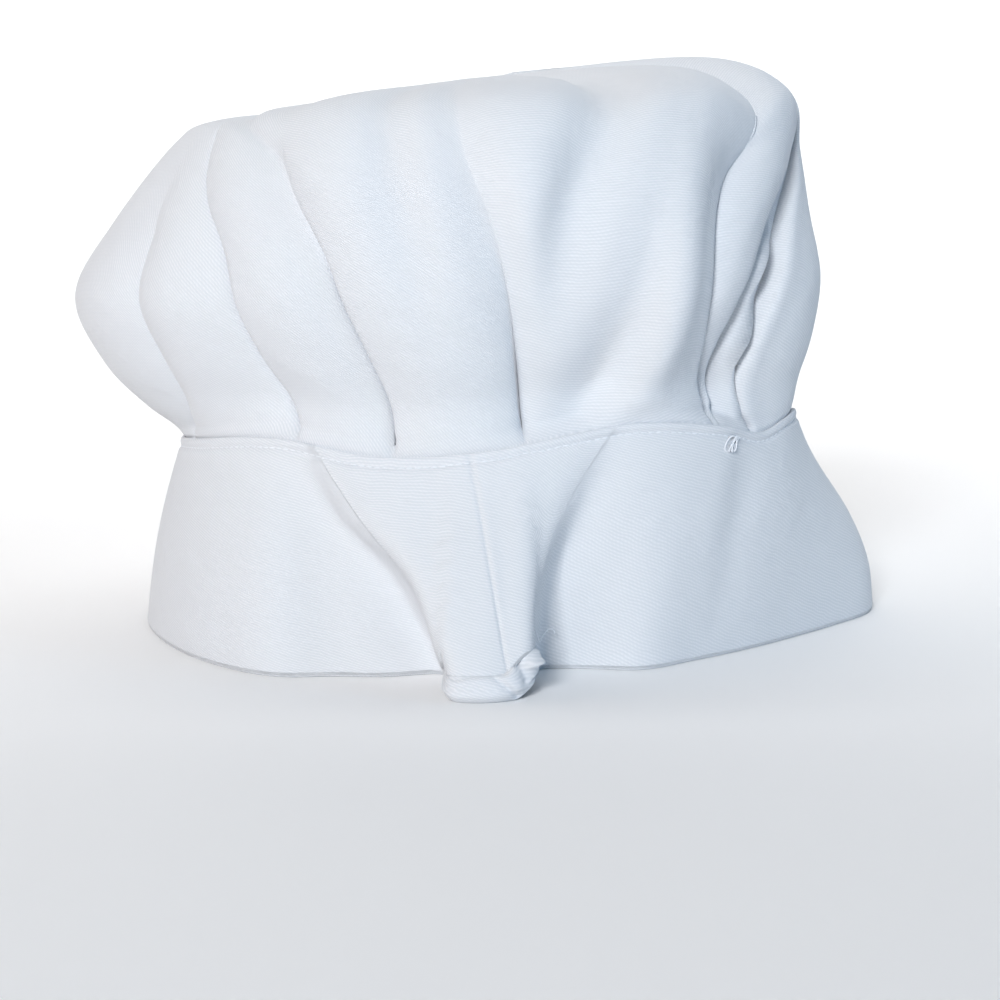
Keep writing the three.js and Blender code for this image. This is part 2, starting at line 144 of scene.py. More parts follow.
@dataclass(frozen=True)
class Fold:
    """One fold line: its angles and depths at the stations, and how wide its two flanks are.

    The left flank lies toward smaller angles. Where one side lies over the other, that side stands
    out by the share step of the depth, and its edge is rounded by the softness in millimetres.
    A ridge has a negative depth.
    """

    name: str
    angles: Numbers
    depths: Numbers
    flanks: tuple[float, float]
    lie: Lie = Lie.VALLEY
    step: float = 0.0
    softness: Numbers = (1.0, 1.0, 1.0, 1.0, 1.0)


@dataclass(frozen=True)
class HatSizes:
    """Driving sizes in millimetres, shared with the CAD parts."""

    centre_x: float = 1.6
    centre_y: float = 1.7
    seam_half_width: float = 99.7
    seam_half_depth: float = 80.2
    band_wall: float = 2.0
    crown_wall: float = 1.5
    gap: float = 0.35
    gather_room: float = 0.9
    tuck_depth: float = 7.0
    casing_start: float = -7.1
    casing_end: float = 7.4
    casing_thickness: float = 4.6
    casing_height: float = 7.6
    ruffle_height: float = 13.5

    @property
    def tuck_inset(self) -> float:
        """Distance from the middle of the band's cloth to the middle of the tucked crown."""
        return self.band_wall / 2 + self.gap + self.gather_room + self.crown_wall / 2


# The top edge of the band: angle, height, how far it is drawn in.
SEAM = np.array(
    [
        (-135, 60, 0), (-90, 59.5, 0.8), (-65, 62.5, 0), (-39, 66.3, 0.6),
        (-18, 62.7, -0.4), (0, 65, -0.6), (14, 69.5, 1.2), (27, 72, 1.2),
        (45, 69.4, 0), (56, 66, 0.8), (66, 69, 0.2), (78, 70, 2),
        (90, 65.5, 4.6), (100, 64, 3.2), (135, 61, 0), (180, 62, 0),
    ]
)

# The hem on the floor without the back fold: angle, distance from the middle.
HEM = np.array(
    [
        (-150, 95), (-120, 107), (-97, 112.5), (-82, 111.5), (-65, 109),
        (-50, 107.5), (-37, 104.8), (-28, 97.2), (-18, 91.5), (-10, 87),
        (0, 83.5), (12, 78), (20, 79.5), (30, 88), (42, 88.8),
        (55, 92.6), (69, 100.8), (80, 112), (90, 125.5), (100, 128.5),
        (118, 115), (145, 98), (180, 91),
    ]
)

# Sections of the crown: t, then distance and height on the left, back, right and front.
SECTIONS = np.array(
    [
        (0.05, 96.7, 59, 77.2, 65, 96.7, 64.5, 77.2, 61.5),
        (0.09, 100.5, 62.8, 77.6, 69.5, 98.8, 67.5, 78.5, 65),
        (0.18, 112.5, 70.5, 80.5, 79, 102.5, 77.5, 86, 71.5),
        (0.28, 124.5, 84, 86.5, 92.5, 105.5, 92.5, 100, 84),
        (0.40, 132.5, 105.5, 92.5, 111, 106.5, 112, 113.5, 101),
        (0.52, 119.5, 128, 94.5, 132, 102, 132, 111, 122),
        (0.64, 99, 153, 89, 151, 99, 153, 96, 142),
        (0.74, 87, 158.5, 74, 165, 94.5, 171, 73, 156),
        (0.86, 47, 162.5, 40, 170.5, 66, 180, 36, 167),
        (1, 0, 173.5, 0, 173.5, 0, 173.5, 0, 173.5),
    ]
)

CROWN_STATIONS = (0.06, 0.25, 0.45, 0.65, 0.85)
CROWN_FOLDS = (
    Fold(
        "left tuck", (-68, -57, -55.5, -66, -72), (4, 9, 7, 0, 0), (10, 6),
        Lie.RIGHT_OVER, 0.4, (1, 1, 2, 6, 8),
    ),
    Fold("corner crease", (-34.5, -34.5, -37, -57, -61), (4, 9, 9, 3, 0), (14, 7), Lie.RIGHT_OVER, 0.35),
    Fold(
        "left middle crease", (-15.4, -16, -20.7, -37, -42), (4, 7.5, 7, 3.5, 0), (10, 5),
        Lie.RIGHT_OVER, 0.4, (1, 1, 1.8, 6, 8),
    ),
    Fold("upper left dip", (-20, -20, -22, -42, -72), (0, 0, 0.5, 3.2, 0), (7, 6)),
    Fold("upper left valley", (-8, -8, -9.5, -16, -20), (0, 0, 2.5, 4, 0.5), (7, 5)),
    Fold(
        "back crease", (7, 5.8, 3, -3.5, -8), (5, 9, 9, 5, 0.5), (9, 5),
        Lie.RIGHT_OVER, 0.25, (1, 1, 3, 4, 5),
    ),
    Fold("upper back valley", (11, 11, 12, 17, 23), (0, 1.5, 7, 7.5, 3.5), (8, 13)),
    Fold("right hollow", (14.5, 21, 25, 28, 32), (4, 7, 3, 0, 0), (12, 7)),
    Fold("right ridge", (26, 27.2, 31.8, 37, 48), (-2, -5, -4, -2, 0), (6, 9)),
    Fold(
        "deep right crease", (41.5, 38.5, 39.5, 49.5, 63), (5, 9, 10, 12, 6), (11, 9),
        Lie.LEFT_OVER, 0.35, (1, 1, 1.5, 4, 6),
    ),
    Fold("near lobe crease", (43.8, 42.3, 50.5, 70, 84), (7, 20, 20, 13, 2), (5, 11), Lie.LEFT_OVER, 0.8),
    Fold("small right ridge", (51.5, 49, 56, 73, 85), (-3, -8, -6, 0, 0), (2, 2)),
    Fold("far lobe crease", (55, 53.5, 64, 83, 93), (5, 8, 9, 4, 1), (8, 5), Lie.RIGHT_OVER, 0.9),
    Fold("right side valley", (79, 82, 86, 95, 100), (2.5, 4, 4, 4, 2), (11, 11)),
    Fold("front right crease 1", (97, 99, 101, 108, 110), (5, 8, 7, 3, 0), (7, 12), Lie.LEFT_OVER, 0.35),
    Fold("front right valley", (113, 113, 112, 120, 122), (2, 4, 5, 4, 1), (10, 10)),
    Fold("front right crease 2", (128, 129, 130, 131, 130), (5, 9, 7, 2, 0), (13, 7), Lie.RIGHT_OVER, 0.35),
    Fold("front valley 1", (144, 146, 147, 148, 148), (2, 4, 5, 5, 1), (10, 10)),
    Fold("front crease 1", (159, 160, 162, 164, 165), (5, 8, 7, 1.5, 0), (7, 12), Lie.LEFT_OVER, 0.35),
    Fold("front valley 2", (174, 176, 178, 180, 182), (2.5, 4, 5.5, 5, 1.5), (10, 10)),
    Fold("front crease 2", (190, 191, 193, 194, 194), (5, 8, 7, 1.5, 0), (12, 7), Lie.RIGHT_OVER, 0.35),
    Fold("front valley 3", (205, 206, 207, 207, 206), (2, 4, 5, 5, 1), (10, 10)),
    Fold("front left crease", (220, 219, 218, 217, 215), (5, 9, 7, 2, 0), (7, 13), Lie.LEFT_OVER, 0.35),
    Fold("front left valley", (235, 233, 231, 229, 228), (2, 4, 5, 4, 1), (10, 10)),
    Fold("left front crease", (250, 248, 245, 242, 240), (5, 8, 7, 2, 0), (12, 7), Lie.RIGHT_OVER, 0.35),
    Fold("left side valley", (268, 266, 264, 262, 260), (3, 4, 3, 3, 0.5), (9, 9)),
)

BAND_STATIONS = (0.0, 0.25, 0.5, 0.75, 1.0)
BAND_FOLDS = (
    Fold("left valley", (-27, -29.5, -31.5, -31, -33), (2, 3, 3, 2, 0.5), (9, 9)),
    Fold("left foot", (-11, -15, -20, -29, -36), (5, 8, 7, 3, 0), (17, 7)),
    Fold("right foot", (11, 11.5, 13, 17, 22), (2, 3, 4, 3, 0.5), (8, 8)),
    Fold("right valley", (46, 47.5, 48.5, 50, 50.5), (0, 0.8, 1.6, 1.8, 0.6), (8, 8)),
    Fold("right shoulder crease", (122, 108, 98, 90, 81), (0, 0, 0.6, 1.4, 1.2), (3, 3)),
    Fold("right belly", (93, 93, 93, 93, 93), (0, -4.5, -5, -3, 0), (28, 28)),
)


@dataclass(frozen=True)
class BackFold:
    """The fold that stands out at the centre back, between a left and a right edge."""

    reach: Numbers = (26.5, 18.5, 11.2, 4.6, 0)
    left: Numbers = (-6.5, -9.2, -13.2, -21.5, -31)
    right: Numbers = (6.6, 7.0, 8.6, 13.5, 21.5)
    left_softness: Numbers = (1.5, 1.8, 3.2, 7, 10)
    right_softness: Numbers = (1.0, 1.2, 2.0, 4.5, 6)
    right_flank: Numbers = (1.8, 2.2, 4.0, 9, 11)
    seam: Numbers = (2.7, 1.3, -0.1, -1.6, -3.3)
    nose: float = 1.5


# Surfaces


@dataclass(frozen=True)
class FoldSet:
    """Folds that share their stations, with the radius that turns angles into lengths."""

    folds: tuple[Fold, ...]
    stations: Numbers
    radius: float = 95.0
    overhang: float = 0.0
    pinch: float = 0.0
    slit_at: float = -1.5
    slit_width: float = 0.85
    lip_at: float = 1.2
    lip_width: float = 2.2
    lip_step: float = 6.0

    def push_and_slide(self, angle: Array, height: Array) -> tuple[Array, Array]:
        """Work out how far the folds move the cloth.

        A valley is depth * exp(-(d / flank)^2) inward, where d is the distance across its line.
        A crease is depth * exp(-d / flank) inward, less its step on the side that lies over, and
        that side's lip also slides back over the line by overhang times the step, of which no more
        than lip_step counts. Beside its edge runs a slit, pinch deep where the crease is deep.

        Args:
            angle: angles round the hat in degrees.
            height: positions between the bottom and the top of the piece.

        Returns:
            Outward pushes and sideways slides in millimetres, in the direction of the angle.
        """
        push = np.zeros(np.broadcast(angle, height).shape)
        slide = np.zeros_like(push)
        for fold in self.folds:
            line = curve(self.stations, fold.angles, height)
            depth = curve(self.stations, fold.depths, height)
            across = np.radians(turn(angle, line)) * self.radius
            flank = np.where(across < 0, fold.flanks[0], fold.flanks[1])
            if fold.lie is Lie.VALLEY:
                push -= depth * np.exp(-((across / flank) ** 2))
                continue
            softness = curve(self.stations, fold.softness, height)
            side = across * fold.lie.value
            rounded = np.sqrt(across**2 + softness**2) - softness
            step = fold.step * depth
            upper = 0.5 * (1 + np.tanh(side / softness))
            push -= (depth - step * upper) * np.exp(-rounded / flank)
            slit = np.clip(depth / 4 - 0.4, 0, 1) / np.maximum(softness, 1) ** 3
            push -= self.pinch * slit * np.exp(-(((side - self.slit_at) / self.slit_width) ** 2))
            lip = np.exp(-(((side - self.lip_at) / self.lip_width) ** 2))
            slide -= fold.lie.value * (self.overhang * np.minimum(step, self.lip_step) * lip)
        return push, slide


@dataclass(frozen=True)
class Surface:
    """A surface over an angle round the hat and a height, with outward normals."""

    sizes: HatSizes

    def point(self, angle: Array, height: Array) -> Array:
        """Give the middle of the cloth in millimetres."""
        raise NotImplementedError

    def normal(self, angle: Array, height: Array) -> Array:
        """Give the outward normals from small steps along both directions."""
        d_angle = self.point(angle + 0.15, height) - self.point(angle - 0.15, height)
        low = np.maximum(height - 0.002, 0.0)
        high = np.minimum(height + 0.002, 1.0)
        d_height = self.point(angle, high) - self.point(angle, low)
        return unit(np.cross(d_angle, d_height))


@dataclass(frozen=True)
class BandSurface(Surface):
    """The band between its hem (0) and its top edge (1).

    The distance from the middle runs straight from the hem's table to the seam's ellipse, with a
    2 mm belly, the back fold with its rounded nose, and the small folds added.
    """

    back: BackFold = BackFold()
    folds: FoldSet = FoldSet(BAND_FOLDS, BAND_STATIONS)

    def back_share(self, angle: Array, s: Array) -> Array:
        """Give 1 on the back fold's face and 0 beside it."""
        from_back = turn(angle, 0.0)
        left, right = (
            np.radians(from_back - curve(BAND_STATIONS, edge, s)) * self.folds.radius
            for edge in (self.back.left, self.back.right)
        )
        rise = 0.5 * (1 + np.tanh(left / curve(BAND_STATIONS, self.back.left_softness, s)))
        soft = curve(BAND_STATIONS, self.back.right_softness, s)
        past = np.log1p(np.exp(np.clip(2 * right / soft, -30, 30))) * soft / 2
        fall = np.exp(-past / curve(BAND_STATIONS, self.back.right_flank, s))
        return rise * fall

    def casing_height(self, angle: Array) -> Array:
        """Give the casing's height, which grows to the ruffle at its right end."""
        ruffle = smooth_step(angle, 1.5, 6.0) * (1 - 0.3 * smooth_step(angle, 6.2, 7.4))
        return self.sizes.casing_height + (self.sizes.ruffle_height - self.sizes.casing_height) * ruffle

    def hem_height(self, angle: Array) -> Array:
        """Give the lower edge: on the floor, and above the casing at the centre back."""
        from_back = turn(angle, 0.0)
        start = smooth_step(from_back, self.sizes.casing_start - 0.4, self.sizes.casing_start + 0.4)
        end = 1 - smooth_step(from_back, self.sizes.casing_end - 0.4, self.sizes.casing_end + 0.4)
        return (self.casing_height(from_back) - 1.6) * start * end

    def point(self, angle: Array, height: Array, on_floor: bool = False) -> Array:
        """Give the middle of the band's cloth. On the floor, it has no casing under it."""
        angle, s = np.broadcast_arrays(np.asarray(angle, float), np.asarray(height, float))
        sin, cos = np.sin(np.radians(angle)), np.cos(np.radians(angle))
        hem = curve_around(HEM[:, 0], HEM[:, 1], angle)
        top, inset = (curve_around(SEAM[:, 0], SEAM[:, k], angle) for k in (1, 2))
        push, _ = self.folds.push_and_slide(angle, s)
        push = push + curve(BAND_STATIONS, self.back.reach, s) * self.back_share(angle, s)
        nose = self.back.nose * np.exp(-(((turn(angle, 0.0) - 0.5) / 4.2) ** 2))
        push = push + 2.0 * np.sin(np.pi * s) + nose * np.clip(1 - s, 0, 1) ** 2
        across = hem + (self.sizes.seam_half_width - inset - hem) * s + push
        along = hem + (self.sizes.seam_half_depth - inset - hem) * s + push
        bottom = 0.0 if on_floor else self.hem_height(angle)
        return xyz(
            self.sizes.centre_x + across * sin,
            self.sizes.centre_y - along * cos,
            bottom + (top - bottom) * s,
        )


@dataclass(frozen=True)
class CrownSurface(Surface):
    """The crown from the tucked edge (0) past the band's top edge (0.05) to the top's middle (1)."""

    band: BandSurface = None
    folds: FoldSet = FoldSet(CROWN_FOLDS, CROWN_STATIONS, overhang=0.75, pinch=4.0)
    snug: float = 2.5

    def base(self, angle: Array, t: Array) -> Array:
        """Give the crown without folds.

        Four profiles are blended by sin^2 and cos^2 of the angle. Each quarter is part of an
        ellipse, and the seam's rise and fall fades out by t = 0.45.
        """
        sin, cos = np.sin(np.radians(angle)), np.cos(np.radians(angle))
        column = [curve(SECTIONS[:, 0], SECTIONS[:, k], t) for k in range(1, 9)]
        side_r = np.where(sin < 0, column[0], column[4])
        side_z = np.where(sin < 0, column[1], column[5])
        end_r = np.where(cos > 0, column[2], column[6])
        end_z = np.where(cos > 0, column[3], column[7])
        straight = SECTIONS[0, 1] + end_r - SECTIONS[0, 3]
        at_side = 1 - (1 - np.abs(sin) ** 1.5) * (1 - smooth_step(t, 0.1, 0.4))
        side_r = straight + (side_r - straight) * at_side
        seam_side = np.where(sin < 0, SECTIONS[0, 2], SECTIONS[0, 6])
        seam_end = np.where(cos > 0, SECTIONS[0, 4], SECTIONS[0, 8])
        near_seam = 1 - smooth_step(t, 0.05, 0.45)
        inset = curve_around(SEAM[:, 0], SEAM[:, 2], angle) * near_seam
        rise = curve_around(SEAM[:, 0], SEAM[:, 1], angle) - (sin**2 * seam_side + cos**2 * seam_end)
        return xyz(
            self.sizes.centre_x + (side_r - inset) * sin,
            self.sizes.centre_y - (end_r - inset) * cos,
            sin**2 * side_z + cos**2 * end_z + rise * near_seam,
        )

    def point(self, angle: Array, height: Array) -> Array:
        """Give the middle of the crown's cloth, with its gathers."""
        angle, t = np.broadcast_arrays(np.asarray(angle, float), np.asarray(height, float))
        sin, cos = np.sin(np.radians(angle)), np.cos(np.radians(angle))
        outward = xyz(sin, -cos, 0.0)
        forward = xyz(cos, sin, 0.0)
        push, slide = self.folds.push_and_slide(angle, t)
        fading = 1 - smooth_step(t, 0.86, 1)
        freed = smooth_step(t, 0.045, 0.12) * fading
        lift = smooth_step(t, 0.5, 0.8)[..., None]
        direction = unit(outward * (1 - lift) + np.array([0.0, 0.0, 1.0]) * lift)
        snug = self.snug * (1 - smooth_step(t, 0.06, 0.2))
        dipped = push * np.where(push > 0, freed, smooth_step(t, 0.03, 0.1) * fading)
        free = self.base(angle, t) + direction * dipped[..., None]
        free = free + forward * (slide * freed)[..., None] + outward * snug[..., None]
        top = curve_around(SEAM[:, 0], SEAM[:, 1], angle)
        s = 1 - np.clip((0.05 - t) / 0.05, 0, 1) * (self.sizes.tuck_depth / top)
        tucked = self.band.point(angle, s) - outward * (self.sizes.tuck_inset - self.snug)
        return np.where((t < 0.05)[..., None], tucked, free)


# Columns and meshes


@dataclass(frozen=True)
class ColumnLine:
    """A line that a column of vertices follows. Columns gather beside a fine one."""

    angles: Numbers
    fine: bool


@dataclass(frozen=True)
class ColumnPlan:
    """Columns that follow fold lines, close together beside the creases."""

    lines: tuple[ColumnLine, ...]
    stations: Numbers
    fine_step: float = 0.2
    coarse_step: float = 1.9
    growth: float = 0.3

    def shares(self, i: int) -> Array:
        """Give where the columns lie between line i and the next, as shares of the gap."""
        here = self.lines[i]
        after = self.lines[(i + 1) % len(self.lines)]
        wrap = 360.0 if i == len(self.lines) - 1 else 0.0
        spans = [b + wrap - a for a, b in zip(here.angles, after.angles)]
        gap = float(np.mean(spans[:4]))
        x = np.linspace(0.0, gap, 400)
        far = np.full_like(x, 1e9)
        near = np.minimum(x if here.fine else far, gap - x if after.fine else far)
        step = np.minimum(self.coarse_step, self.fine_step + self.growth * near)
        count = np.concatenate([[0.0], np.cumsum(np.diff(x) * 2 / (step[1:] + step[:-1]))])
        columns = max(1, round(count[-1]))
        return np.interp(np.arange(columns) / columns * count[-1], count, x) / gap

    def grid(self, heights: Array) -> tuple[Array, Array]:
        """Lay the columns out.

        Args:
            heights: the rows' heights.

        Returns:
            Angles as rows by columns, and for each column how many fine lines lie at or before it.
        """
        at = np.stack([curve(self.stations, line.angles, heights) for line in self.lines], axis=1)
        after = np.concatenate([at[:, 1:], at[:, :1] + 360.0], axis=1)
        angles, passed, fine = [], [], 0
        for i, line in enumerate(self.lines):
            fine += int(line.fine)
            share = self.shares(i)
            angles.append(at[:, i, None] + (after[:, i] - at[:, i])[:, None] * share[None, :])
            passed.extend([fine] * len(share))
        return np.concatenate(angles, axis=1), np.array(passed)


class MeshWriter:
    """Writes numpy grids to Blender meshes."""

    @staticmethod
    def write(
        name: str, points: Array, faces: list[Array], corner_uvs: list[Array] | None = None
    ) -> Item:
        """Write one mesh.

        Args:
            name: the piece's name.
            points: vertices in millimetres, one row each.
            faces: arrays of vertex indices, one array for each number of corners.
            corner_uvs: cloth coordinates in millimetres for each corner of each array of faces.

        Returns:
            The new object, smooth shaded and linked to the scene.
        """
        mesh = bpy.data.meshes.new(name)
        mesh.vertices.add(len(points))
        mesh.vertices.foreach_set("co", (points * MM).astype(np.float32).ravel())
        corners = np.concatenate([f.ravel() for f in faces]).astype(np.int32)
        sizes = np.concatenate([np.full(len(f), f.shape[1]) for f in faces])
        mesh.loops.add(len(corners))
        mesh.loops.foreach_set("vertex_index", corners)
        mesh.polygons.add(len(sizes))
        starts = np.concatenate([[0], np.cumsum(sizes)[:-1]]).astype(np.int32)
        mesh.polygons.foreach_set("loop_start", starts)
        mesh.update(calc_edges=True)
        if corner_uvs is not None:
            layer = mesh.uv_layers.new(name="cloth")
            flat = np.concatenate([uv.reshape(-1, 2) for uv in corner_uvs]).astype(np.float32)
            layer.data.foreach_set("uv", flat.ravel())
        mesh.polygons.foreach_set("use_smooth", np.ones(len(sizes), dtype=bool))
        mesh.validate()
        item = bpy.data.objects.new(name, mesh)
        bpy.context.scene.collection.objects.link(item)
        return item

    @staticmethod
    def ring_faces(rows: int, columns: int) -> Array:
        """Give quads for a grid that closes round its columns, facing out when rows run upward."""
        k, i = np.meshgrid(np.arange(rows - 1), np.arange(columns), indexing="ij")
        j = (i + 1) % columns
        return np.stack(
            [k * columns + i, k * columns + j, (k + 1) * columns + j, (k + 1) * columns + i], axis=-1
        ).reshape(-1, 4)

    @staticmethod
    def ring_uvs(first: Array, second: Array) -> Array:
        """Give each quad's corner coordinates from those of its first and its second column."""
        after = np.roll(second, -1, axis=1)
        return np.stack([first[:-1], after[:-1], after[1:], first[1:]], axis=2).reshape(-1, 4, 2)


def dress(item: Item, finish: Finish, node: str = "") -> Item:
    """Give a piece its finish, let it ride on the hat and let it stand for a node."""
    item.data.materials.append(finish)
    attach(item, "root")
    if node:
        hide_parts(node)
    return item


# Finishes


def linear(hex_colour: str) -> tuple[float, float, float, float]:
    """Turn an sRGB hex colour into linear RGBA."""
    parts = [int(hex_colour[i : i + 2], 16) / 255 for i in (1, 3, 5)]
    return (*[p / 12.92 if p <= 0.04045 else ((p + 0.055) / 1.055) ** 2.4 for p in parts], 1.0)


class NodeTree:
    """Adds nodes with their settings and links to a material."""

    def __init__(self, name: str) -> None:
        self.material = bpy.data.materials.new(name)
        self.material.use_nodes = True
        self.tree = self.material.node_tree
        self.tree.nodes.clear()

    def add(self, kind: str, inputs: dict | None = None, **settings: object) -> bpy.types.Node:
        """Add a node.

        Args:
            kind: the node's type, such as "ShaderNodeMath".
            inputs: values or output sockets for its inputs, by name or number.
            settings: attributes of the node.

        Returns:
            The node.
        """
        node = self.tree.nodes.new(kind)
        for key, value in settings.items():
            setattr(node, key, value)
        for key, value in (inputs or {}).items():
            if isinstance(value, bpy.types.NodeSocket):
                self.tree.links.new(value, node.inputs[key])
            else:
                node.inputs[key].default_value = value
        return node

    def math(self, operation: str, *values: object) -> bpy.types.NodeSocket:
        """Add a maths node and give its output."""
        return self.add("ShaderNodeMath", dict(enumerate(values)), operation=operation).outputs[0]


@dataclass(frozen=True)
class TwillFinish:
    """Ribs across the cloth coordinates, broken into short floats, with painted shade in the grooves
    between the ribs.

    The single threads, about 0.2 mm thick, are too fine to show. The floats are drawn 1.5 mm long,
    coarser than in real cloth, so that they still show.
    """

    name: str
    rib_angle: float
    pitch: float = 0.86
    float_length: float = 1.5
    light: str = "#e2e3e6"
    # The groove colour is painted shade: a darker tone for the grooves between the ribs.
    groove: str = "#d3d6da"
    relief_mm: float = 0.07
    roughness: float = 0.95

    def build(self) -> Finish:
        """Make the material."""
        tree = NodeTree(self.name)
        uv = tree.add("ShaderNodeUVMap", uv_map="cloth").outputs[0]
        c, s = math.cos(math.radians(self.rib_angle)), math.sin(math.radians(self.rib_angle))
        wobble = tree.add("ShaderNodeTexNoise", {"Vector": uv, "Scale": 0.12, "Detail": 2.0})
        shift = tree.math("MULTIPLY", tree.math("SUBTRACT", wobble.outputs[0], 0.5), 1.4)
        across, along = (
            tree.add("ShaderNodeVectorMath", {0: uv, 1: way}, operation="DOT_PRODUCT").outputs["Value"]
            for way in ((-s, c, 0.0), (c, s, 0.0))
        )
        rib_phase = tree.math("MULTIPLY", tree.math("ADD", across, shift), 2 * math.pi / self.pitch)
        rib = tree.math("MULTIPLY_ADD", tree.math("SINE", rib_phase), 0.5, 0.5)
        float_phase = tree.math(
            "MULTIPLY_ADD", rib_phase, 0.7, tree.math("MULTIPLY", along, 2 * math.pi / self.float_length)
        )
        floats = tree.math("MULTIPLY_ADD", tree.math("SINE", float_phase), 0.5, 0.5)
        weave = tree.math("MULTIPLY", rib, tree.math("MULTIPLY_ADD", floats, 0.4, 0.6))
        fuzz = tree.add("ShaderNodeTexNoise", {"Vector": uv, "Scale": 2.2, "Detail": 3.0})
        height = tree.math("MULTIPLY_ADD", fuzz.outputs[0], 0.35, weave)
        rumple = tree.add("ShaderNodeTexNoise", {"Vector": uv, "Scale": 0.06, "Detail": 3.0})
        rumpling = {"Strength": 0.35, "Distance": 2.0 * MM, "Height": rumple.outputs[0]}
        soft = tree.add("ShaderNodeBump", rumpling)
        relief = {"Strength": 0.8, "Distance": self.relief_mm * MM, "Height": height}
        bump = tree.add("ShaderNodeBump", {**relief, "Normal": soft.outputs[0]})
        # Painted shade: the colour runs from the darker groove tone in the grooves to the light tone on the
        # rib tops.
        groove_shade_tones = {"Factor": weave, 6: linear(self.groove), 7: linear(self.light)}
        colour = tree.add("ShaderNodeMix", groove_shade_tones, data_type="RGBA")
        look = {"Base Color": colour.outputs[2], "Normal": bump.outputs[0], "Roughness": self.roughness}
        bloom = {"Specular IOR Level": 0.2, "Sheen Weight": 0.15, "Sheen Roughness": 0.5}
        shader = tree.add("ShaderNodeBsdfPrincipled", {**look, **bloom})
        tree.add("ShaderNodeOutputMaterial", {"Surface": shader.outputs[0]})
        return tree.material


@dataclass(frozen=True)
class PlainFinish:
    """A plain matte finish, for thread and for the floor."""

    name: str
    colour: str
    roughness: float

    def build(self) -> Finish:
        """Make the material."""
        tree = NodeTree(self.name)
        look = {"Base Color": linear(self.colour), "Roughness": self.roughness}
        shader = tree.add("ShaderNodeBsdfPrincipled", {**look, "Specular IOR Level": 0.2})
        tree.add("ShaderNodeOutputMaterial", {"Surface": shader.outputs[0]})
        return tree.material


# Pieces


@dataclass
class Crown:
    """The gathered round of cloth."""

    surface: CrownSurface
    cloth: float = 0.6

    def heights(self) -> Array:
        """Give the rows' heights, close together above the band's edge."""
        parts = ((0.0, 0.05, 4), (0.056, 0.14, 13), (0.148, 0.74, 76), (0.75, 0.985, 22))
        return np.concatenate([np.linspace(*part) for part in parts])

    def rib_fall(self, angle: Array) -> Array:
        """Give how steeply the ribs fall to the right: 13 degrees at the back, 38 at the sides."""
        return 13 + 25 * smooth_step(np.abs(turn(angle, 6.0)), 14.0, 48.0)

    def cloth_coordinates(
        self, points: Array, angles: Array, heights: Array, passed: Array
    ) -> tuple[Array, Array]:
        """Lay each panel between two creases flat, as a wedge of the round that it was cut from.

        A point's distance in the wedge is its length of cloth from the top's middle, and its angle
        is the length of cloth from the panel's middle column, folds included, over that distance.
        The wedge is then turned until its ribs fall to the right by their angle on the hat.

        Args:
            points: the crown's points, rows by columns.
            angles: their angles round the hat.
            heights: the rows' heights.
            passed: the panel of each column.

        Returns:
            Coordinates in millimetres for the first and the second column of each face.
        """
        base = self.surface.base(angles, heights[:, None])
        pole = self.surface.base(np.zeros(1), np.ones(1))[0]
        down = np.concatenate([pole + 0 * base[:1], base[::-1]])
        distance = walked(down)[:0:-1]
        ahead = np.roll(points, -1, axis=1) - points
        steps = np.linalg.norm(ahead, axis=-1) / distance
        turned = np.concatenate([np.zeros((len(heights), 1)), np.cumsum(steps, axis=1)], axis=1)
        panels = np.append(passed, passed[-1])
        middles = [np.flatnonzero(panels == panel).mean() for panel in range(1, passed.max() + 1)]
        middles = np.array(middles).astype(int)
        low, high = np.searchsorted(heights, [0.2, 0.6])
        tangent = xyz(np.cos(np.radians(angles[low])), np.sin(np.radians(angles[low])), 0.0)
        sideways = ((points[low] - points[high]) * tangent).sum(axis=-1)
        lean = np.degrees(np.arctan2(sideways, points[high, :, 2] - points[low, :, 2]))
        fall = np.radians(self.rib_fall(angles[low]) + lean)[middles % len(passed)]

        def flat(columns: Array, panel: Array) -> Array:
            """Give the flat coordinates of columns as parts of their panels."""
            part = turned[:, columns] - turned[:, middles[panel - 1]]
            reach = distance[:, columns % len(passed)]
            u, v = reach * np.sin(part), -reach * np.cos(part)
            c, s = np.cos(fall[panel - 1]), np.sin(fall[panel - 1])
            return np.stack([u * c - v * s + 37.0 * panel, u * s + v * c], axis=-1)

        columns = np.arange(len(passed))
        return flat(columns, passed), flat(columns + 1, passed)

    def build(self, finish: Finish) -> Item:
        """Build the crown as a single sheet with the thickness of its cloth."""
        folds = sorted(CROWN_FOLDS, key=lambda fold: fold.angles[1])
        lines = tuple(ColumnLine(fold.angles, True) for fold in folds if fold.lie is not Lie.VALLEY)
        heights = self.heights()
        angles, passed = ColumnPlan(lines, CROWN_STATIONS).grid(heights)
        points = self.surface.point(angles, heights[:, None])
        points = points + 0.5 * self.surface.normal(angles, heights[:, None])
        rows, columns = angles.shape
        pole = self.surface.point(np.zeros(1), np.ones(1)) + np.array([0.0, 0.0, 0.5])
        quads = MeshWriter.ring_faces(rows, columns)
        last = (rows - 1) * columns + np.arange(columns)
        fan = np.stack([last, np.roll(last, -1), np.full(columns, rows * columns)], axis=1)
        first, second = self.cloth_coordinates(points, angles, heights, passed)
        centre = np.broadcast_to(first[-1].mean(axis=0), (columns, 2))
        fan_uv = np.stack([first[-1], second[-1], centre], axis=1)
        uvs = [MeshWriter.ring_uvs(first, np.roll(second, 1, axis=1)), fan_uv]
        points = np.concatenate([points.reshape(-1, 3), pole])
        item = MeshWriter.write("crown_cloth", points, [quads, fan], uvs)
        wall = item.modifiers.new("cloth", "SOLIDIFY")
        wall.thickness = self.cloth * MM
        wall.offset = -1.0
        return dress(item, finish, "crown")


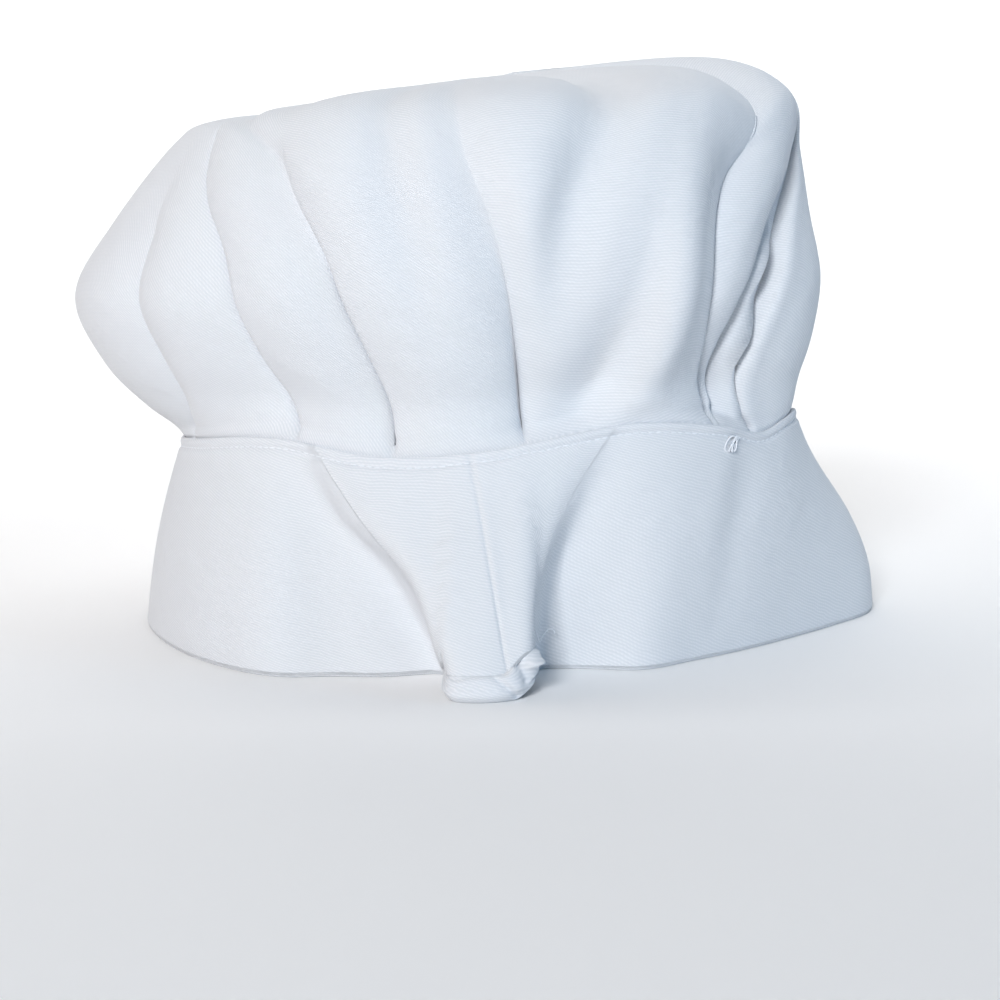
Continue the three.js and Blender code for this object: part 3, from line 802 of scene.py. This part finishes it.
@dataclass
class Band:
    """The double strip with a rolled hem and a topstitched upper edge."""

    surface: BandSurface
    half_outer: float = 0.95
    half_inner: float = 0.75
    stitch_drop: float = 2.9

    def relief(self, drop: Array) -> Array:
        """Give how far the upper edge stands out at a drop below it: full, then drawn in."""
        roll = 0.3 * np.exp(-(((drop - 1.3) / 0.9) ** 2))
        pinch = -0.5 * np.exp(-(((drop - self.stitch_drop) / 0.7) ** 2))
        return roll + pinch

    def heights(self) -> Array:
        """Give the rows' heights, close together at the hem and at the upper edge."""
        drops = np.concatenate([np.linspace(0.9, 7.0, 18), [8.0, 9.4, 11.0]]) / 65.0
        return np.concatenate([np.linspace(0.02, 0.82, 34), 1 - drops[::-1]])

    def lines(self) -> tuple[ColumnLine, ...]:
        """Give the columns' lines: folds, the back fold's edges and the centre-back seam."""
        back = self.surface.back
        lines = [ColumnLine(fold.angles, False) for fold in (BAND_FOLDS[0], BAND_FOLDS[3])]
        for angles in (back.left, back.seam, back.right):
            lines.append(ColumnLine(tuple(angles), True))
        return tuple(sorted(lines, key=lambda line: line.angles[1]))

    def seam_groove(self, angles: Array, s: Array) -> Array:
        """Give the narrow groove where the strip's two ends are sewn together."""
        radius = 80 + curve(BAND_STATIONS, self.surface.back.reach, s)
        across = np.radians(turn(angles, curve(BAND_STATIONS, self.surface.back.seam, s))) * radius
        return -0.5 * np.exp(-((across / 0.4) ** 2)) + 0.12 * np.exp(-(((across - 1.3) / 0.9) ** 2))

    def build(self, finish: Finish) -> Item:
        """Build the band as one closed ring with rounded edges."""
        plan = ColumnPlan(self.lines(), BAND_STATIONS, fine_step=0.18, coarse_step=1.6, growth=0.22)
        body = self.heights()
        angles, _ = plan.grid(body)
        s = body[:, None]
        middle = self.surface.point(angles, s)
        normal = self.surface.normal(angles, s)
        drop = (1 - s) * curve_around(SEAM[:, 0], SEAM[:, 1], angles)
        swell = self.relief(drop) + self.seam_groove(angles, s)
        outer = middle + normal * (self.half_outer + swell)[..., None]
        inner = middle - normal * (self.half_inner - 0.5 * self.relief(drop))[..., None]
        arc = np.radians(np.linspace(30, 150, 5))[:, None, None]
        half = 0.5 * (outer[-1] - inner[-1])
        top = 0.5 * (outer[-1] + inner[-1]) + half * np.cos(arc)
        top = top + np.array([0, 0, 1.0]) * np.sin(arc) * 0.9
        low = 0.5 * (outer[0] + inner[0])
        floor = self.surface.point(angles[:1], np.zeros((1, 1)))[0, :, 2]
        half = 0.5 * (outer[0] - inner[0])
        hem = low - half * np.cos(arc)
        hem[..., 2] = floor + (low[:, 2] - floor) * (1 - np.sin(arc[..., 0]))
        loop = np.concatenate([outer, top, inner[::-1], hem])
        rows, columns = loop.shape[:2]
        faces = MeshWriter.ring_faces(rows + 1, columns) % (rows * columns)
        back_seam = int(np.argmin(np.abs(angles[20] - self.surface.back.seam[1])))
        first, second = self.cloth_coordinates(loop, back_seam)
        first, second = np.concatenate([first, first[:1]]), np.concatenate([second, second[:1]])
        uvs = [MeshWriter.ring_uvs(first, second)]
        item = MeshWriter.write("band_cloth", loop.reshape(-1, 3), [faces], uvs)
        return dress(item, finish, "band")

    def cloth_coordinates(self, loop: Array, back_seam: int) -> tuple[Array, Array]:
        """Lay the strip flat: length round the hat from the centre back by height over the floor."""
        ahead = np.linalg.norm(np.roll(loop, -1, axis=1) - loop, axis=-1)
        length = np.concatenate([np.zeros((len(loop), 1)), np.cumsum(ahead, axis=1)], axis=1)
        total = length[:, -1:]
        length = length[:, :-1] - length[:, back_seam : back_seam + 1]
        length = np.where(length[20] > total[20] / 2, length - total, length)
        height = loop[0, :, 2] + walked(loop)
        first = np.stack([length, height], axis=-1)
        second = first.copy()
        second[..., 0] = np.roll(length + ahead, 1, axis=1)
        return first, second


@dataclass(frozen=True)
class Wrinkle:
    """A ridge or a groove on the casing, from one end to the other in millimetres.

    The first number of an end runs along the casing and the second up it. A groove is negative.
    """

    name: str
    start: tuple[float, float]
    end: tuple[float, float]
    rise: float
    width: float


@dataclass
class BackCasing:
    """The puckered channel that holds the elastic at the centre back."""

    surface: BandSurface
    stations: int = 260
    reach_past_ends: float = 0.7
    wrinkles: tuple[Wrinkle, ...] = (
        Wrinkle("stitch line", (2.5, 6.8), (11.5, 6.6), -0.45, 0.45),
        Wrinkle("stitch line's rise", (11.5, 6.6), (14.5, 8.4), -0.5, 0.5),
        Wrinkle("left end's pinch", (1.2, 8.5), (4.2, 1.2), -0.9, 0.8),
        Wrinkle("lower crease", (4.5, 3.4), (14.0, 4.6), -0.4, 0.7),
        Wrinkle("lower roll", (5.0, 2.0), (17.0, 2.4), 0.35, 1.3),
        Wrinkle("seam's end", (14.6, 9.5), (18.4, 1.2), -0.6, 0.45),
        Wrinkle("puff before the swirl", (16.9, 8.0), (18.3, 4.0), 0.9, 1.2),
        Wrinkle("swirl's outer groove", (20.0, 13.6), (18.9, 9.8), -1.7, 0.75),
        Wrinkle("swirl's lower groove", (18.9, 9.8), (19.6, 4.6), -1.4, 0.7),
        Wrinkle("swirl's ridge", (21.8, 12.6), (20.7, 9.0), 1.5, 0.95),
        Wrinkle("swirl's turn", (20.7, 9.0), (24.2, 5.2), 1.3, 1.0),
        Wrinkle("swirl's pit", (23.1, 10.9), (23.9, 8.9), -2.4, 0.95),
        Wrinkle("end puff", (26.4, 12.2), (28.4, 9.4), 1.4, 1.5),
        Wrinkle("groove under the puff", (24.8, 8.0), (29.5, 6.6), -1.3, 0.7),
        Wrinkle("end's lower fold", (24.0, 2.6), (29.0, 4.4), 0.7, 1.2),
        Wrinkle("end's lower groove", (20.5, 3.2), (24.0, 1.0), -0.8, 0.6),
    )

    def rise(self, along: Array, up: Array) -> Array:
        """Give how far the front stands out: each wrinkle's rise * exp(-(distance / width)^2)."""
        total = np.zeros(np.broadcast(along, up).shape)
        for wrinkle in self.wrinkles:
            (x0, y0), (x1, y1) = wrinkle.start, wrinkle.end
            length = math.hypot(x1 - x0, y1 - y0)
            part = np.clip(((along - x0) * (x1 - x0) + (up - y0) * (y1 - y0)) / length**2, 0, 1)
            distance = np.hypot(along - x0 - part * (x1 - x0), up - y0 - part * (y1 - y0))
            total += wrinkle.rise * np.exp(-((distance / wrinkle.width) ** 2))
        return total

    def build(self, finish: Finish) -> Item:
        """Build the casing as a closed tube: a flattened round section along the hem's line.

        The elastic draws both ends up a little from the floor, the right one more.
        """
        sizes = self.surface.sizes
        share = np.linspace(0, 1, self.stations)
        start, end = sizes.casing_start - self.reach_past_ends, sizes.casing_end + self.reach_past_ends
        angles = start + (end - start) * share
        middle = self.surface.point(angles, np.zeros(1), on_floor=True)
        ahead = unit(np.gradient(middle, axis=0))
        outward = xyz(ahead[:, 1], -ahead[:, 0], 0.0)
        length = walked(middle)
        rounding = np.sqrt(np.clip(1 - np.abs((share - 0.5) / 0.5) ** 7, 0.01, 1))
        kept = 0.3 + 0.7 * rounding + 0.45 * smooth_step(share, 0.5, 1.0) * (1 - rounding)
        height = self.surface.casing_height(angles) * kept
        lift = 2.0 * (1 - smooth_step(share, 0.0, 0.22)) + 4.6 * smooth_step(share, 0.7, 1.0)
        around = round_trip(96)
        side = np.sign(np.cos(around)) * np.abs(np.cos(around)) ** 0.85
        level = 0.5 + 0.5 * np.sin(around)
        up = level * height[:, None]
        thick = sizes.casing_thickness / 2 * rounding[:, None] * side
        share_out = smooth_step(side, -0.2, 0.6) * rounding[:, None]
        thick = thick + self.rise(length[:, None] * 29.5 / length[-1], up) * share_out
        points = middle[:, None, :] + outward[:, None, :] * thick[..., None]
        points[..., 2] = up + lift[:, None] * (1 - level)
        rows, columns = points.shape[:2]
        faces = MeshWriter.ring_faces(rows, columns)[:, ::-1]
        caps = np.stack([np.arange(columns), (rows - 1) * columns + np.arange(columns)[::-1]])
        girth = np.linspace(0, 24.0, columns, endpoint=False)
        first = np.stack(np.broadcast_arrays(length[:, None], girth[None, :]), axis=-1)
        second = first.copy()
        second[:, 0, 1] = 24.0
        uvs = [MeshWriter.ring_uvs(first, second)[:, ::-1], np.zeros((2, columns, 2))]
        item = MeshWriter.write("casing_cloth", points.reshape(-1, 3), [faces, caps], uvs)
        return dress(item, finish, "back-elastic-casing")


@dataclass
class Topstitching:
    """The row of short thread stitches just below the band's upper edge, all round."""

    band: Band
    pitch: float = 2.4
    length: float = 1.75
    radius: float = 0.2

    def build(self, finish: Finish) -> Item:
        """Lay small capsules evenly along the line of their drop below the edge."""
        fine = np.linspace(-180, 180, 4000)
        surface, drop = self.band.surface, self.band.stitch_drop
        path = surface.point(fine, 1 - drop / curve_around(SEAM[:, 0], SEAM[:, 1], fine))
        length = walked(path)
        count = round(length[-1] / self.pitch)
        angles = np.interp(np.arange(count) / count * length[-1], length, fine)
        heights = 1 - drop / curve_around(SEAM[:, 0], SEAM[:, 1], angles)
        normal = surface.normal(angles, heights)
        out = self.band.half_outer + self.band.relief(np.array(drop)) + 0.03
        middles = surface.point(angles, heights) + normal * out
        along = unit(np.roll(middles, -1, axis=0) - np.roll(middles, 1, axis=0))
        across = unit(np.cross(normal, along))
        tilt = np.radians([-90, -50, 0, 50, 90])
        spin = round_trip(6)
        lengthwise = np.array([-0.5, -0.44, 0.0, 0.44, 0.5]) * self.length
        girth = np.maximum(np.cos(tilt), 0.15) * self.radius
        points = (
            middles[:, None, None]
            + along[:, None, None] * lengthwise[:, None, None]
            + across[:, None, None] * (girth[:, None] * np.cos(spin))[..., None]
            + normal[:, None, None] * (girth[:, None] * np.sin(spin))[..., None]
        )
        caps = np.array([np.arange(6)[::-1], 24 + np.arange(6)])
        shift = (np.arange(count) * 30)[:, None, None]
        sides = (MeshWriter.ring_faces(5, 6)[None] + shift).reshape(-1, 4)
        ends = (caps[None] + shift).reshape(-1, 6)
        return dress(MeshWriter.write("band_topstitching", points.reshape(-1, 3), [sides, ends]), finish)


@dataclass(frozen=True)
class Strand:
    """A loose end of thread on the band: its route and how thick it is.

    Each point of the route is an angle, a height on the band and a distance from its surface.
    """

    name: str
    route: tuple[Triple, ...]
    radius: float = 0.17

    def build(self, surface: BandSurface, finish: Finish) -> Item:
        """Build the strand as a thin tube along a smooth curve through its route."""
        route = np.array(self.route)
        knots = np.arange(len(route), dtype=float)
        at = np.linspace(0, len(route) - 1, 6 * len(route))
        angle, height, out = (curve(knots, route[:, k], at) for k in range(3))
        path = surface.point(angle, height) + surface.normal(angle, height) * out[:, None]
        ahead = unit(np.gradient(path, axis=0))
        across = unit(np.cross(ahead, np.array([0.3, 0.2, 0.93])))
        over = np.cross(ahead, across)
        spin = round_trip(8)[None, :, None]
        ring = across[:, None, :] * np.cos(spin) + over[:, None, :] * np.sin(spin)
        points = path[:, None, :] + self.radius * ring
        rows = len(path)
        caps = np.stack([np.arange(8)[::-1], (rows - 1) * 8 + np.arange(8)])
        faces = [MeshWriter.ring_faces(rows, 8), caps]
        return dress(MeshWriter.write(self.name, points.reshape(-1, 3), faces), finish)


LOOSE_END = Strand(
    "loose_end",
    ((7.0, 0.10, 0.6), (7.8, 0.17, 2.2), (9.2, 0.2, 3.6), (10.8, 0.19, 4.6), (12.0, 0.18, 5.6)),
)


def seam_knot() -> Strand:
    """Give the thread end that is tangled at the seam: three uneven loops over one another."""
    u = np.linspace(0, 6.4 * np.pi, 46)
    angle = 45.9 + (1.25 - 0.35 * np.sin(0.37 * u)) * np.cos(u) + 0.5 * np.sin(0.3 * u)
    height = 0.925 + 0.033 * np.sin(1.13 * u + 0.5)
    out = 1.45 + 0.45 * np.sin(0.71 * u)
    return Strand("seam_knot", tuple(zip(angle, height, out)), radius=0.24)


# Scene


@dataclass
class Studio:
    """A pale sweep, soft lights and the camera."""

    camera_mm: Triple = (4.6, -598.3, 137.0)
    pitch_deg: float = 9.4
    focal_share: float = 1.846

    def build_floor(self) -> Item:
        """Build the floor, which sweeps up behind the hat."""
        bend = np.radians(np.linspace(0, 90, 24))
        y = np.concatenate([[-4000], 600 + 900 * np.sin(bend), [1500]])
        z = np.concatenate([[0], 900 - 900 * np.cos(bend), [4500]])
        points = xyz(np.array([-5000.0, 5000.0])[None, :], y[:, None], z[:, None])
        rows = len(y)
        k = np.arange(rows - 1)
        faces = np.stack([2 * k, 2 * k + 1, 2 * k + 3, 2 * k + 2], axis=1)
        item = MeshWriter.write("floor", points.reshape(-1, 3), [faces])
        # Seamless background paper: even, matte and just off white.
        item.data.materials.append(PlainFinish("seamless paper", "#f6f5f4", 0.9).build())
        return item

    def add_light(
        self, name: str, place: Triple, size: float, power: float, colour: Triple, target: Triple
    ) -> None:
        """Add a square soft light that faces its target, in metres and watts."""
        data = bpy.data.lights.new(name, "AREA")
        data.shape = "SQUARE"
        data.size = size
        data.energy = power
        data.color = colour
        lamp = bpy.data.objects.new(name, data)
        lamp.location = place
        aim = Vector(target) - Vector(place)
        lamp.rotation_euler = aim.to_track_quat("-Z", "Y").to_euler()
        bpy.context.scene.collection.objects.link(lamp)

    def build(self) -> None:
        """Build the floor, the lights, the world and the camera."""
        self.build_floor()
        world = bpy.data.worlds.new("studio")
        world.use_nodes = True
        background = world.node_tree.nodes["Background"]
        background.inputs["Color"].default_value = (0.93, 0.96, 1.0, 1.0)
        background.inputs["Strength"].default_value = 0.1
        bpy.context.scene.world = world
        hat, backdrop, white = (0.0, 0.0, 0.09), (0.0, 1.5, 1.1), (1.0, 1.0, 1.0)
        self.add_light("key", (-0.44, -1.69, 0.86), 0.5, 29.2, (0.92, 0.957, 1.0), hat)
        self.add_light("left fill", (-1.5, -0.3, 0.4), 0.6, 1.5, (1.0, 0.5, 0.2), hat)
        self.add_light("right fill", (1.5, -0.6, 0.4), 0.6, 3.8, (0.15, 0.55, 1.0), hat)
        self.add_light("backdrop light", (0.0, 0.35, 1.6), 1.6, 30.0, white, backdrop)
        data = bpy.data.cameras.new("camera")
        data.sensor_width = 36.0
        data.lens = 36.0 * self.focal_share
        camera = bpy.data.objects.new("camera", data)
        camera.location = Vector(self.camera_mm) * MM
        camera.rotation_euler = (math.radians(90 - self.pitch_deg), 0.0, 0.0)
        bpy.context.scene.collection.objects.link(camera)
        bpy.context.scene.camera = camera
        bpy.context.scene.view_settings.view_transform = "Standard"


@dataclass
class ChefHat:
    """The whole hat."""

    sizes: HatSizes = HatSizes()

    def build(self) -> None:
        """Build every piece in order."""
        band_surface = BandSurface(self.sizes)
        crown_surface = CrownSurface(self.sizes, band=band_surface)
        # Poly-cotton 3/1 twill, woven, bleached and pressed: a cool matte white with fine
        # slanting ribs and, at grazing angles, a faint bloom of loose fibres. On the crown its
        # ribs follow each panel, on the band they fall by 20 degrees.
        crown_cloth = TwillFinish("bleached poly-cotton twill, crown", rib_angle=0.0).build()
        band_cloth = TwillFinish("bleached poly-cotton twill, band", rib_angle=-20.0).build()
        # Spun polyester sewing thread: a slightly brighter matte white than the cloth.
        thread = PlainFinish("spun polyester thread", "#e9ebef", 0.8).build()
        crown = Crown(crown_surface).build(crown_cloth)
        band = Band(band_surface)
        band_item = band.build(band_cloth)
        casing = BackCasing(band_surface).build(band_cloth)
        stitches = Topstitching(band).build(thread)
        loose_end = LOOSE_END.build(band_surface, thread)
        knot = seam_knot().build(band_surface, thread)
        trim = [casing, stitches, loose_end, knot]
        for item in (crown, band_item, *trim):
            LOG.info("%s: %d faces", item.name, len(item.data.polygons))


def main() -> None:
    """Build the hat and the studio."""
    logging.basicConfig(level=logging.INFO, format="%(message)s")
    ChefHat().build()
    Studio().build()


if __name__ == "__main__":
    main()
